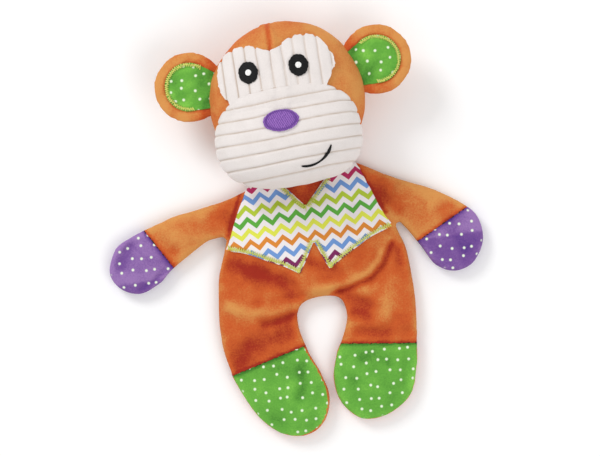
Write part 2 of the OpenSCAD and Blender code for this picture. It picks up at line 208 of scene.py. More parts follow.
# The soft folds of the half-empty trousers and sleeves and the hollows at the neck: each is a path in
# millimetres, its half width and its height.
FOLDS = [
    ([(8, -47.5), (22.8, -44), (37.6, -39), (46.3, -31.5), (54, -18)], 4.5, 2.4),
    ([(10, -50), (23.6, -47.9), (38.8, -43.4), (48.8, -35), (57, -21)], 2.2, -4.2),
    ([(16.4, -52.6), (25.4, -55.8), (34.7, -61)], 4, -2.0),
    ([(-63, -49), (-50, -54.7), (-34, -57.5), (-17, -54.5)], 4.5, 2.6),
    ([(-40, -64.5), (-28, -63.5), (-17, -60)], 3.0, -3.2),
    ([(-57, -19.5), (-41, -28.6), (-25.4, -37.6), (-14.5, -49)], 6.5, -3.2),
    ([(-26, -43), (-6, -45.5), (8, -46)], 4.5, 1.6),
    ([(-62, -89), (-54, -80.5), (-39, -77), (-24, -73.5)], 7.5, -2.6),
    ([(24, -65), (32, -68)], 4.5, -2.8),
    ([(25, -79.5), (45, -82.5)], 4.0, -2.4),
    ([(47, -58), (45.4, -72)], 4.5, 2.0),
    ([(30, -50.5), (50, -50)], 4.0, 1.6),
    ([(-1, -26), (4, -30), (15, -32)], 4.0, -1.8),
    ([(60, -24), (60.5, -36)], 3.5, -2.0),
    ([(-18, -97), (-19.5, -112), (-24, -119)], 3.5, -2.2),
    ([(-44, -133), (-31, -130)], 4.5, -1.2),
    ([(24, -97.5), (31, -96), (42, -102.5)], 4.0, -2.0),
    ([(16, -112), (18, -122)], 4.0, -1.4),
    ([(-96, -13), (-106, -18.5), (-116.5, -25), (-123, -27.5)], 1.6, -2.6),
    ([(-126, 4), (-134, -8.5)], 4.0, -2.0),
    ([(-105, 7), (-96, -3)], 5.0, -1.8),
    ([(-60, 16), (-51, 11)], 5.5, -1.6),
    ([(49, 20), (58, 12), (64, 2)], 4.5, -1.8),
    ([(100, -14), (108, -33)], 4.5, -1.6),
    ([(88, -6), (101, 0)], 4.0, -1.2),
    ([(-8, 28), (1, 19), (14, 29)], 8.0, -3.4),
    ([(24, 40), (40, 37)], 6.0, -1.6),
]


def reach(path, points):
    """How far flat points lie from a path of straight stretches."""
    best = np.full(len(points), 1e9)
    for a, b in zip(path[:-1], path[1:]):
        a, b = np.array(a, float), np.array(b, float)
        t = np.clip(((points - a) @ (b - a)) / max((b - a) @ (b - a), 1e-9), 0, 1)
        best = np.minimum(best, np.linalg.norm(points - a - t[:, None] * (b - a), axis=1))
    return best


place = np.array([v.co for v in body.data.vertices]) / MM
above = place[:, 2] - SEAM_Z / MM
edge = trace(OUTLINE, 3)
from_edge = reach([*edge, edge[0]], flat)
fold = sum(height * np.exp(-(reach(path, flat) / width) ** 2) for path, width, height in FOLDS)
front = np.clip(above / 3, 0, 1) * np.clip(from_edge / 5, 0, 1)
lumps = np.array([noise.noise(Vector((x, y, 0)) / 17) + 0.5 * noise.noise(Vector((x, y, 9)) / 7)
                  for x, y in flat])
place[:, 2] += front * (fold + 0.9 * lumps)
# The width of the painted shade along each seam.
SEAM_SHADE_MM = 1.5
THREAD_LINE_MM = 0.6
seam_shade, seam_line = np.zeros((2, len(flat)))
for name in seam_names:
    if "hip" not in name:
        along, out = from_seam(name, flat)
        near = abs(along) < SEAM_HALF[name.split("_")[1]]
        seam_shade = np.maximum(seam_shade, np.exp(-(out / SEAM_SHADE_MM) ** 2) * near)
        if "shoulder" not in name:
            thread = np.exp(-(out / THREAD_LINE_MM) ** 2) * near * (above > 0.8)
            seam_line = np.maximum(seam_line, thread)
place[:, 2] = np.maximum(place[:, 2], FLOOR_GAP / MM + 0.12 * np.maximum(0, place[:, 2]))
sleeves = np.clip((abs(flat[:, 0]) - 58) / 14, 0, 1) * (flat[:, 1] > -22)
# Painted shade and light: the tone is darker in the fold hollows and at the seams and lighter on the fold
# ridges; the lumps vary it at random and the sleeves are lighter overall.
tone = 0.40 + 0.16 * fold + 0.22 * lumps - 0.75 * seam_shade + 0.35 * sleeves
# A painted highlight along the outline of the body.
tone += 0.25 * np.exp(-(from_edge / 4) ** 2)
body.data.vertices.foreach_set("co", (place * MM).ravel())
body.data.attributes.new("cut", "FLOAT_VECTOR", "POINT").data.foreach_set("vector", cut.ravel())
body.data.attributes.new("tone", "FLOAT", "POINT").data.foreach_set("value", tone)
body.data.attributes.new("seam", "FLOAT", "POINT").data.foreach_set("value", seam_line)
body.vertex_groups.clear()
apply(body, "SUBSURF", levels=1, render_levels=1)


def linear(colour):
    """An sRGB hex colour as linear red, green, blue and alpha."""
    channels = [int(colour[i:i + 2], 16) / 255 for i in (1, 3, 5)]
    return (*(c / 12.92 if c <= 0.04045 else ((c + 0.055) / 1.055) ** 2.4 for c in channels), 1)


def node(tree, kind, inputs={}, **settings):
    """Adds a shader node with its settings and its inputs' values or links."""
    made = tree.nodes.new("ShaderNode" + kind)
    for key, value in settings.items():
        setattr(made, key, value)
    for key, value in inputs.items():
        if isinstance(value, bpy.types.NodeSocket):
            tree.links.new(value, made.inputs[key])
        else:
            made.inputs[key].default_value = value
    return made


def new_material(slot):
    """A material for a slot of the record, with its shader and the tree to build on."""
    made = bpy.data.materials.new(slot + "_finish")
    made.use_nodes = True
    return made, made.node_tree, made.node_tree.nodes["Principled BSDF"]


def per_mm(size):
    """The scale of a pattern whose features are this many millimetres across."""
    return 1 / (size * MM)


# Short-pile velour, brushed and sheared knitted polyester: matt, with a soft sheen. Its colour runs with
# each piece's tone from darker and redder, painted shade in folds, creases, seams and on sides turned away,
# to lighter, painted highlight, and it varies at random with the pile and nap. The pin dots are printed on
# it about 8 mm apart and stop at the rolled edge, and dark thread shows at the seams of the hands and feet.
PILE_MM = 1.15
BRUSHED_MM = 13
SEAM_BITE_MM = 1.5
DOT_CELL_MM = 8.0
DOT_R_MM = 0.92


def velour(name, deep, middle, light, dotted=False):
    """Velour from the painted shade to the painted highlight colour, and whether pin dots are printed on it.
    """
    made, tree, shader = new_material(name)
    where = node(tree, "TexCoord").outputs["Object"]
    tone = node(tree, "Attribute", attribute_name="tone").outputs["Fac"]
    pile = node(tree, "TexNoise", {"Vector": where, "Scale": per_mm(PILE_MM), "Detail": 3.0,
                                   "Roughness": 0.7}).outputs[0]
    brushed = node(tree, "TexNoise", {"Vector": where, "Scale": per_mm(BRUSHED_MM), "Detail": 2.0,
                                      "Distortion": 0.8}).outputs[0]
    rough = node(tree, "Math", {0: pile, 1: 0.8, 2: tone}, operation="MULTIPLY_ADD").outputs[0]
    nap = node(tree, "Math", {0: brushed, 1: 0.55, 2: rough}, operation="MULTIPLY_ADD").outputs[0]
    low = node(tree, "MapRange", {"Value": nap, "From Min": 0.45, "From Max": 1.1},
               interpolation_type="SMOOTHSTEP").outputs[0]
    high = node(tree, "MapRange", {"Value": nap, "From Min": 1.0, "From Max": 1.7},
                interpolation_type="SMOOTHSTEP").outputs[0]
    colour = node(tree, "Mix", {0: low, 6: linear(deep), 7: linear(middle)}, data_type="RGBA").outputs[2]
    colour = node(tree, "Mix", {0: high, 6: colour, 7: linear(light)}, data_type="RGBA").outputs[2]
    if dotted:
        cut_place = node(tree, "Attribute", attribute_name="cut").outputs["Vector"]
        cells = node(tree, "TexVoronoi", {"Vector": cut_place, "Scale": 1 / DOT_CELL_MM, "Randomness": 0.48},
                     voronoi_dimensions="2D").outputs["Distance"]
        dot = node(tree, "MapRange", {"Value": cells, "From Min": (DOT_R_MM + 0.35) / DOT_CELL_MM,
                                      "From Max": (DOT_R_MM - 0.35) / DOT_CELL_MM}).outputs[0]
        depth = node(tree, "SeparateXYZ", {0: cut_place}).outputs["Z"]
        depth = node(tree, "Math", {0: depth}, operation="ABSOLUTE").outputs[0]
        face_up = node(tree, "MapRange", {"Value": depth, "From Min": SLAB / MM / 2 - 0.9,
                                          "From Max": SLAB / MM / 2 - 0.3}).outputs[0]
        lining = node(tree, "Math", {0: depth, 1: 0.05}, operation="LESS_THAN").outputs[0]
        printed = node(tree, "Math", {0: face_up, 1: lining}, operation="MAXIMUM").outputs[0]
        dot = node(tree, "Math", {0: dot, 1: printed}, operation="MULTIPLY").outputs[0]
        colour = node(tree, "Mix", {0: dot, 6: colour, 7: linear("#E9F5DC")}, data_type="RGBA").outputs[2]
    teeth = node(tree, "TexNoise", {"Vector": where, "Scale": per_mm(SEAM_BITE_MM), "Detail": 1.0}).outputs[0]
    seam = node(tree, "Attribute", attribute_name="seam").outputs["Fac"]
    bitten = node(tree, "Math", {0: teeth, 1: 1.2, 2: seam}, operation="MULTIPLY_ADD").outputs[0]
    bitten = node(tree, "MapRange", {"Value": bitten, "From Min": 1.38, "From Max": 1.58}).outputs[0]
    colour = node(tree, "Mix", {0: bitten, 6: colour, 7: linear("#30240F")}, data_type="RGBA").outputs[2]
    tree.links.new(colour, shader.inputs["Base Color"])
    bump = node(tree, "Bump", {"Height": pile, "Strength": 0.7, "Distance": 0.6 * MM}).outputs[0]
    tree.links.new(bump, shader.inputs["Normal"])
    shader.inputs["Roughness"].default_value = 0.92
    shader.inputs["Specular IOR Level"].default_value = 0.25
    shader.inputs["Sheen Weight"].default_value = 0.35
    shader.inputs["Sheen Roughness"].default_value = 0.4
    shader.inputs["Sheen Tint"].default_value = linear(light)
    return made


# Each velour: its painted shade colour, its middle colour and its painted highlight colour.
orange = velour("orange_velour", "#9E2A18", "#C75A26", "#D6934F")
green = velour("green_dotted_velour", "#3E7A2A", "#63A83E", "#86CC50", dotted=True)
purple = velour("purple_dotted_velour", "#4A2A80", "#734D94", "#9A76B2", dotted=True)
FOOT_TURN_MM = 1.6
ROLLED_MM = 1.3
ROLLED_FROM_MM = -30
ROLLED_OVER_MM = 12
CLOTH_WALL = 0.9 * MM


def part_of(points):
    """Which part of the flat body each flat point was cut for."""
    names = np.full(len(points), "torso", dtype=object)
    for side, sign in SIDES.items():
        corner, past = ARMPITS[side]
        outside = ((points - np.array(corner)) @ np.array(past)) > 0
        arm = (from_seam(side + "_shoulder_fold", points)[1] > 0) & outside & (points[:, 0] * sign > 30)
        hand = arm & (from_seam(side + "_wrist_fold", points)[1] > 0)
        leg = (from_seam(side + "_hip_fold", points)[1] > 0) & (points[:, 0] * sign > 0) & ~arm
        leg &= (abs(points[:, 0]) > 13) | (points[:, 1] < -56)
        foot = leg & (from_seam(side + "_ankle_fold", points)[1] > 0)
        for part, chosen in (("sleeve", arm), ("hand", hand), ("leg", leg), ("foot", foot)):
            names[chosen] = side + "_" + part
    return names


def take(source, name, keep):
    """A copy of the faces of a mesh whose numbers are to be kept, as a cloth wall of its own."""
    copy = source.copy()
    copy.data = source.data.copy()
    copy.name = name
    scene.collection.objects.link(copy)
    shape = bmesh.new()
    shape.from_mesh(copy.data)
    shape.faces.ensure_lookup_table()
    keep = set(keep)
    bmesh.ops.delete(shape, geom=[f for f in shape.faces if f.index not in keep], context="FACES")
    shape.to_mesh(copy.data)
    shape.free()
    apply(copy, "SOLIDIFY", thickness=CLOTH_WALL, offset=-1)
    pick(copy)
    bpy.ops.object.shade_smooth_by_angle(angle=math.radians(60))
    return copy


cut_now = np.empty(len(body.data.vertices) * 3)
body.data.attributes["cut"].data.foreach_get("vector", cut_now)
cut_now = cut_now.reshape(-1, 3)
centres = np.array([cut_now[list(p.vertices)].mean(0) for p in body.data.polygons])
parts = part_of(centres[:, :2])
rim = reach([*edge, edge[0]], centres[:, :2])
PARENT = {"sleeve": ("torso", "arm", "shoulder", 15), "hand": ("arm", "hand", "wrist", 9),
          "leg": ("torso", "leg", "hip", 15), "foot": ("leg", "foot", "ankle", 10)}
for whole in dict.fromkeys(parts):
    kind = whole.split("_")[-1]
    turned = centres[:, 2] > (FOOT_TURN_MM if kind == "foot" else 0)
    if whole == "left_foot":
        past = centres[:, 0] - ROLLED_FROM_MM
        turned &= (rim > ROLLED_MM * np.clip(past / ROLLED_OVER_MM, 0, 1)) | (past < 0)
    for face, chosen in (("front", turned), ("back", ~turned)):
        piece = take(body, whole + "_" + face + "_cloth", np.flatnonzero((parts == whole) & chosen))
        cloth = {"hand": purple, "foot": green if face == "front" else orange}.get(kind, orange)
        piece.data.materials.append(cloth)
        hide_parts(whole + "_" + face)
        if face == "front":
            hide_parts(whole.replace("sleeve", "arm") + "_filling")
        if kind == "torso":
            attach(piece, "torso")
            continue
        side = whole.split("_")[0]
        first, second, joint, length = PARENT[kind]
        middle, run, outward = seam_frame(side + "_" + joint + "_fold")
        first = first if first == "torso" else side + "_" + first
        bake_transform(piece)


def surface_of(obj):
    """The surface of a finished object, to lay other pieces on."""
    points = [v.co.copy() for v in obj.data.vertices]
    return BVHTree.FromPolygons(points, [list(p.vertices) for p in obj.data.polygons])


chest = surface_of(body)
bpy.data.objects.remove(body)


# The vest front: a flap of chevron-printed cotton, laid on the chest and sewn down round its edge. Its
# zigzag rows are printed 8 mm apart in eight colours on off-white, and the plain weave shows only close to.
VEST = [
    [(-36, 36.5), (-48, 13.5), (-54.3, 0), (-59, -9)],
    [(-59, -9), (-42.7, -14.5), (-29.6, -21.4), (-21, -25.6), (-10, -33)],
    [(-10, -33), (3, -11.5)],
    [(3, -11.5), (11.2, -32.5)],
    [(11.2, -32.5), (17.5, -28.5), (27, -23), (42.3, -15), (60, -9)],
    [(60, -9), (55, -0.5), (50, 12), (42.5, 34.8)],
    [(42.5, 34.8), (37, 41), (24, 38)],
    [(24, 38), (1, 13.5)],
    [(1, 13.5), (-18, 37)],
    [(-18, 37), (-36, 36.5)],
]
ROW_MM = 8.0
BAND_MM = 3.9
ZIG_MM = 11.5
ZIG_HEIGHT_MM = 5.3
ZIG_START_MM = -41.0
ROW_COLOURS = ["#7D1A5C", "#6F9AD8", "#E08A2E", "#E3E84F", "#5CAE3C", "#B5CC34", "#6F9AD8", "#B5215C"]


def inside(points, loop):
    """Which flat points lie inside a closed loop."""
    x, y = points[:, 0, None], points[:, 1, None]
    x0, y0 = loop.T
    x1, y1 = np.roll(loop, -1, axis=0).T
    rise = np.where(y1 == y0, 1, y1 - y0)
    crosses = ((y0 > y) != (y1 > y)) & (x < x0 + (y - y0) * (x1 - x0) / rise)
    return crosses.sum(1) % 2 == 1


def drop_on(below, x, y, top=0.12):
    """The point and outward direction of a surface straight below a flat point in millimetres."""
    hit, normal, _, _ = below.ray_cast(Vector((x * MM, y * MM, top)), Vector((0, 0, -1)))
    if hit is None:
        hit, normal, _, _ = below.find_nearest(Vector((x * MM, y * MM, SEAM_Z)))
    return hit, normal if normal.z > 0 else -normal


def lay(name, loop, cell, below, thickness, raised=None, bridging=0):
    """A patch cut to a loop in millimetres, laid on the surface below it. raised gives its extra height, in
    millimetres, at flat points, and bridging how often it is evened out over the dips below."""
    low, high = loop.min(0) - cell, loop.max(0) + cell
    nx, ny = (int(v) for v in np.ceil((high - low) / cell))
    bpy.ops.object.select_all(action="DESELECT")
    bpy.ops.mesh.primitive_grid_add(x_subdivisions=nx, y_subdivisions=ny, size=2)
    patch = bpy.context.object
    patch.name = name
    spots = np.array([v.co.xy for v in patch.data.vertices])
    spots = low + (spots + 1) / 2 * (high - low)
    near = reach([*loop, loop[0]], spots)
    keep = inside(spots, loop) | (near < 0.45 * cell)
    shape = bmesh.new()
    shape.from_mesh(patch.data)
    shape.verts.ensure_lookup_table()
    for v, (x, y) in zip(shape.verts, spots):
        v.co = (x, y, 0)
    bmesh.ops.delete(shape, geom=[v for v, k in zip(list(shape.verts), keep) if not k], context="VERTS")
    bmesh.ops.delete(shape, geom=[v for v in shape.verts if not v.link_faces], context="VERTS")
    ends = np.roll(loop, -1, axis=0)
    for v in [v for v in shape.verts if v.is_boundary]:
        p = np.array(v.co.xy)
        run = ends - loop
        t = np.clip(((p - loop) * run).sum(1) / np.maximum((run * run).sum(1), 1e-9), 0, 1)
        nearest = loop + t[:, None] * run
        v.co.xy = nearest[np.argmin(np.linalg.norm(nearest - p, axis=1))]
    bmesh.ops.smooth_vert(shape, verts=[v for v in shape.verts if not v.is_boundary], factor=0.5,
                          use_axis_x=True, use_axis_y=True)
    shape.to_mesh(patch.data)
    shape.free()
    places = np.array([v.co for v in patch.data.vertices])
    extra = raised(places[:, :2]) if raised else np.zeros(len(places))
    patch.data.attributes.new("cut", "FLOAT_VECTOR", "POINT").data.foreach_set("vector", places.ravel())
    drops = [drop_on(below, x, y) for x, y, _ in places]
    patch.data.vertices.foreach_set("co", np.array([hit for hit, _ in drops], float).ravel())
    normals = [normal for _, normal in drops]
    if bridging:
        apply(patch, "SMOOTH", iterations=bridging, factor=0.5, use_x=False, use_y=False)
        normals = [v.normal.copy() for v in patch.data.vertices]
    for v, normal, more in zip(patch.data.vertices, normals, extra):
        v.co += normal * (thickness + more * MM)
    return patch


def stiffen(patch, thickness):
    """Gives a laid patch its thickness, downwards from its face."""
    apply(patch, "SOLIDIFY", thickness=thickness, offset=-1)
    pick(patch)
    bpy.ops.object.shade_smooth_by_angle(angle=math.radians(50))


COTTON_WALL = 0.6 * MM
vest_loop = trace(VEST, 1.0)
vest = lay("vest_cotton", vest_loop, 1.2, chest, COTTON_WALL + 0.15 * MM)
stiffen(vest, COTTON_WALL)
cotton, tree, shader = new_material("chevron_cotton")
cut_place = node(tree, "Attribute", attribute_name="cut").outputs["Vector"]
axes = node(tree, "SeparateXYZ", {0: cut_place}).outputs
turns = node(tree, "Math", {0: axes["X"], 1: 1 / ZIG_MM, 2: -ZIG_START_MM / ZIG_MM},
             operation="MULTIPLY_ADD").outputs[0]
zig = node(tree, "Math", {0: turns, 1: 0.5}, operation="PINGPONG").outputs[0]
straight = node(tree, "Math", {0: zig, 1: 2 * ZIG_HEIGHT_MM, 2: axes["Y"]},
                operation="MULTIPLY_ADD").outputs[0]
rows = node(tree, "Math", {0: straight, 1: 1 / ROW_MM, 2: 3.5 - ZIG_HEIGHT_MM / 2 / ROW_MM},
            operation="MULTIPLY_ADD").outputs[0]
number = node(tree, "Math", {0: rows}, operation="FLOOR").outputs[0]
within = node(tree, "Math", {0: rows}, operation="FRACT").outputs[0]
off_centre = node(tree, "Math", {0: within, 1: 0.5}, operation="SUBTRACT").outputs[0]
off_centre = node(tree, "Math", {0: off_centre}, operation="ABSOLUTE").outputs[0]
band = node(tree, "MapRange", {"Value": off_centre, "From Min": (BAND_MM / 2 + 0.1) / ROW_MM,
                               "From Max": (BAND_MM / 2 - 0.1) / ROW_MM}).outputs[0]
share = node(tree, "Math", {0: number, 1: 1 / 8, 2: 0.5 / 8}, operation="MULTIPLY_ADD").outputs[0]
palette = node(tree, "ValToRGB", {0: share})
palette.color_ramp.interpolation = "CONSTANT"
for k, colour in enumerate(ROW_COLOURS):
    stop = palette.color_ramp.elements[k] if k < 2 else palette.color_ramp.elements.new(k / 8)
    stop.position = k / 8
for k, colour in enumerate(ROW_COLOURS):
    palette.color_ramp.elements[k].position = k / 8
    palette.color_ramp.elements[k].color = linear(colour)
print_colour = node(tree, "Mix", {0: band, 6: linear("#F3EDEE"), 7: palette.outputs["Color"]},
                    data_type="RGBA").outputs[2]
weaving = {"Vector": cut_place, "Scale": 0.9, "Distortion": 0.3}
warp = node(tree, "TexWave", weaving, bands_direction="X").outputs["Fac"]
weft = node(tree, "TexWave", weaving, bands_direction="Y").outputs["Fac"]
weave = node(tree, "Math", {0: warp, 1: weft}, operation="MULTIPLY").outputs[0]
worn = node(tree, "MapRange", {"Value": weave, "To Min": 0.9, "To Max": 1.0}).outputs[0]
print_colour = node(tree, "Mix", {0: 1.0, 6: print_colour, 7: worn}, data_type="RGBA",
                    blend_type="MULTIPLY").outputs[2]
tree.links.new(print_colour, shader.inputs["Base Color"])
tree.links.new(node(tree, "Bump", {"Height": weave, "Strength": 0.3, "Distance": 0.15 * MM}).outputs[0],
               shader.inputs["Normal"])
shader.inputs["Roughness"].default_value = 0.85
vest.data.materials.append(cotton)
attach(vest, "torso")
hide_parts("vest")


# The zigzag stitching that holds the hem and the neckline of the vest down: yellow-green polyester thread,
# sewn by machine in dense zigzags nearly 4 mm wide over the raw edge.
STITCH_W_MM = 3.7
STITCH_STEP_MM = 0.8
THREAD_R = 0.36 * MM


def zigzag(name, path, below, width=STITCH_W_MM, inset=1.5, lift=0.25 * MM):
    """Thread sewn in zigzags along a path in millimetres, its middle inset to the left of the path."""
    line = trace(path, 0.4)
    gaps = np.linalg.norm(np.diff(line, axis=0), axis=1)
    run = np.concatenate([[0], np.cumsum(gaps)])
    stops = np.arange(0, run[-1], STITCH_STEP_MM)
    spots = np.stack([np.interp(stops, run, line[:, k]) for k in (0, 1)], axis=1)
    ahead = np.gradient(spots, axis=0)
    ahead /= np.maximum(np.linalg.norm(ahead, axis=1), 1e-9)[:, None]
    left = np.stack([-ahead[:, 1], ahead[:, 0]], axis=1)
    swing = np.where(np.arange(len(stops)) % 2 == 0, 1, -1) * width / 2
    uneven = np.array([noise.noise(Vector((s * 1.7, 3.1, 0))) for s in stops]) * 0.5
    spots = spots + left * (inset + swing + uneven)[:, None]
    bpy.ops.object.select_all(action="DESELECT")
    bpy.ops.curve.primitive_nurbs_path_add()
    thread = bpy.context.object
    thread.name = name
    thread.data.splines.clear()
    spline = thread.data.splines.new("POLY")
    spline.points.add(len(spots) * 2 - 2)
    for k, (x, y) in enumerate(spots):
        hit, normal = drop_on(below, x, y)
        spline.points[2 * k].co = (*(hit + normal * lift), 1)
        if k:
            mid = (spots[k] + spots[k - 1]) / 2
            hit, normal = drop_on(below, *mid)
            spline.points[2 * k - 1].co = (*(hit + normal * (lift + 0.35 * MM)), 1)
    thread.data.bevel_depth, thread.data.bevel_resolution = THREAD_R, 1
    thread.data.use_fill_caps = True
    pick(thread)
    bpy.ops.object.convert(target="MESH")
    bpy.ops.object.shade_smooth()
    return bpy.context.object


thread_green, tree, shader = new_material("yellow_green_thread")
where = node(tree, "TexCoord").outputs["Object"]
shine = node(tree, "TexNoise", {"Vector": where, "Scale": per_mm(1.1), "Detail": 2.0}).outputs[0]
colour = node(tree, "Mix", {0: shine, 6: linear("#B4C234"), 7: linear("#F6F68E")},
              data_type="RGBA").outputs[2]
tree.links.new(colour, shader.inputs["Base Color"])
shader.inputs["Roughness"].default_value = 0.42
shader.inputs["Sheen Weight"].default_value = 0.2

dressed = surface_of(vest)
hem_path = [[(-58, -8.8), *VEST[1][1:]], VEST[2], VEST[3], [*VEST[4][:-1], (59, -8.8)]]
neck_path = [[(24, 38), (1, 13.5)], [(1, 13.5), (-18, 37)]]
hem = zigzag("vest_hem_thread", hem_path, dressed)
neck = zigzag("vest_neck_thread", neck_path, dressed)
for stitching, replaced in ((hem, "vest_hem_stitching"), (neck, "vest_neck_stitching")):
    stitching.data.materials.append(thread_green)
    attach(stitching, "torso")
    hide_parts(replaced)


# The head: a firmly stuffed ball of two orange plush panels, sewn together down the middle, over the top
# and round the back. The seam pulls a shallow crease into the ball, deepest on the forehead.
left_low, left_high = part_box("head_left_panel")
right_low, right_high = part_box("head_right_panel")
head_low = [min(a, b) for a, b in zip(left_low, right_low)]
head_high = [max(a, b) for a, b in zip(left_high, right_high)]
ABOVE_NECK = 50 * MM
HEAD_HALF_LENGTH = 57 * MM
HEAD_MIDDLE = Vector(((head_low[0] + head_high[0]) / 2, joints["neck_tilt"]["pos_m"][1] + ABOVE_NECK,
                      (head_low[2] + head_high[2]) / 2))
HEAD_HALF = Vector(((head_high[0] - head_low[0]) / 2, HEAD_HALF_LENGTH, (head_high[2] - head_low[2]) / 2))
FACE_X = left_high[0]


def ball(name, middle, half, segments, rings):
    """A stuffed ball of even rings about the Y direction, with its half sizes along X, Y and Z."""
    bpy.ops.object.select_all(action="DESELECT")
    bpy.ops.mesh.primitive_uv_sphere_add(segments=segments, ring_count=rings, radius=1)
    made = bpy.context.object
    made.name = name
    made.data.transform(Matrix.Rotation(math.radians(90), 4, "X"))
    made.data.transform(Matrix.Translation(middle) @ Matrix.Diagonal((*half, 1)))
    return made


head = ball("head", HEAD_MIDDLE, HEAD_HALF, 128, 96)
pinned = [v.index for v in head.data.vertices if abs(v.co.x - FACE_X) < 1.2 * MM]
settle(head, pinned, frames=10, pressure=2.0, shrink=-0.02, keep_flat=0.5, cap=1.0 * MM)
tones = []
for v in head.data.vertices:
    out = v.co - HEAD_MIDDLE
    out = Vector((out.x / HEAD_HALF.x ** 2, out.y / HEAD_HALF.y ** 2, out.z / HEAD_HALF.z ** 2)).normalized()
    off = (v.co.x - FACE_X) / MM
    lumps = noise.noise(v.co * 40) * 1.0 + noise.noise(v.co * 110) * 0.35
    seam = math.exp(-(off / 1.6) ** 2)
    pucker = math.exp(-(off / 5.5) ** 2)
    v.co += out * (lumps - 0.5 * seam - 0.3 * pucker) * MM
    v.co.z = max(v.co.z, FLOOR_GAP)
    # Painted shade: darker in the seam's crease and on the sides of the ball, lighter towards its top, with
    # random lumps.
    tones.append(0.72 + 0.25 * lumps - 0.5 * seam + 0.08 * out.z)
head.data.attributes.new("tone", "FLOAT", "POINT").data.foreach_set("value", tones)
sides = np.array([p.center.x < FACE_X for p in head.data.polygons])
for side, chosen in (("left", sides), ("right", ~sides)):
    panel = take(head, "head_" + side + "_cloth", np.flatnonzero(chosen))
    panel.data.materials.append(orange)
    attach(panel, "head")
    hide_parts("head_" + side + "_panel")
    if side == "left":
        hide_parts("head_stuffing")
skull = surface_of(head)
bpy.data.objects.remove(head)


# The eye mask: a two-lobed piece of white jumbo corduroy, sewn flat on the head with its wales upright. The
# raw ends and sides of the wales are bulky, so its edge is scalloped.
WALE_MM = 8.1
MASK = [
    [(-36, 84), (-40.5, 92), (-43.5, 98), (-44.8, 105), (-44, 112.5), (-41.5, 119), (-36, 124), (-29, 126.4),
     (-22, 126.6), (-15, 123.8), (-10, 121.6), (-4, 122), (1, 124.8), (7, 128), (16, 129), (24.5, 127),
     (29.5, 121), (33, 115), (34.2, 108), (32, 101), (27, 93), (24, 84)],
    [(24, 84), (-36, 84)],
]


def wale(place):
    """The height, from 0 in a groove to 1, of corduroy at a place in millimetres across its wales."""
    off = abs((place / WALE_MM) % 1 - 0.5) * 2
    return 1 - np.clip((off - 0.55) / 0.45, 0, 1) ** 2.2


mask_loop = trace(MASK, 0.8)
ahead = np.roll(mask_loop, -1, axis=0) - np.roll(mask_loop, 1, axis=0)
outward = np.stack([-ahead[:, 1], ahead[:, 0]], axis=1)
outward /= np.maximum(np.linalg.norm(ahead, axis=1), 1e-9)[:, None]
upright = abs(outward[:, 1])
scallop = upright * (wale(mask_loop[:, 0]) - 0.8) * 1.5 + (1 - upright) * 0.12 * np.sin(mask_loop[:, 1] * 2.4)
mask_loop = mask_loop + outward * scallop[:, None]
CORDUROY_WALL = 1.4 * MM
WALE_HEIGHT_MM = 1.3
mask = lay("eye_mask_corduroy", mask_loop, 0.9, skull, CORDUROY_WALL,
           lambda p: WALE_HEIGHT_MM * wale(p[:, 0]), bridging=8)


def mark_grooves(obj, values):
    """Keeps how deep in a groove each point lies, for the material's painted shade."""
    obj.data.attributes.new("groove", "FLOAT", "POINT").data.foreach_set("value", np.asarray(values, float))


spots = np.empty(len(mask.data.vertices) * 3)
mask.data.attributes["cut"].data.foreach_get("vector", spots)
mark_grooves(mask, 1 - wale(spots.reshape(-1, 3)[:, 0]))
stiffen(mask, CORDUROY_WALL)
corduroy, tree, shader = new_material("white_corduroy")
where = node(tree, "TexCoord").outputs["Object"]
groove = node(tree, "Attribute", attribute_name="groove").outputs["Fac"]
FUZZ_MM = 0.7
fuzz = node(tree, "TexNoise", {"Vector": where, "Scale": per_mm(FUZZ_MM), "Detail": 3.0,
                               "Roughness": 0.65}).outputs[0]
cloudy = node(tree, "TexNoise", {"Vector": where, "Scale": per_mm(9), "Detail": 2.0}).outputs[0]
# Darker and browner in the grooves between the wales: painted shade.
deep = node(tree, "MapRange", {"Value": groove, "From Min": 0.25, "From Max": 0.95}).outputs[0]
colour = node(tree, "Mix", {0: cloudy, 6: linear("#E0D8D4"), 7: linear("#EBE4E1")},
              data_type="RGBA").outputs[2]
speck = node(tree, "MapRange", {"Value": fuzz, "From Min": 0.3, "From Max": 0.6, "To Min": 0.93,
                                "To Max": 1.0}).outputs[0]
colour = node(tree, "Mix", {0: 1.0, 6: colour, 7: speck}, data_type="RGBA",
              blend_type="MULTIPLY").outputs[2]
colour = node(tree, "Mix", {0: deep, 6: colour, 7: linear("#C9B9AB")}, data_type="RGBA").outputs[2]
tree.links.new(colour, shader.inputs["Base Color"])
tree.links.new(node(tree, "Bump", {"Height": fuzz, "Strength": 0.5, "Distance": 0.4 * MM}).outputs[0],
               shader.inputs["Normal"])
shader.inputs["Roughness"].default_value = 0.95
shader.inputs["Specular IOR Level"].default_value = 0.2
shader.inputs["Sheen Weight"].default_value = 0.3
mask.data.materials.append(corduroy)
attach(mask, "head")
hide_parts("eye_mask")


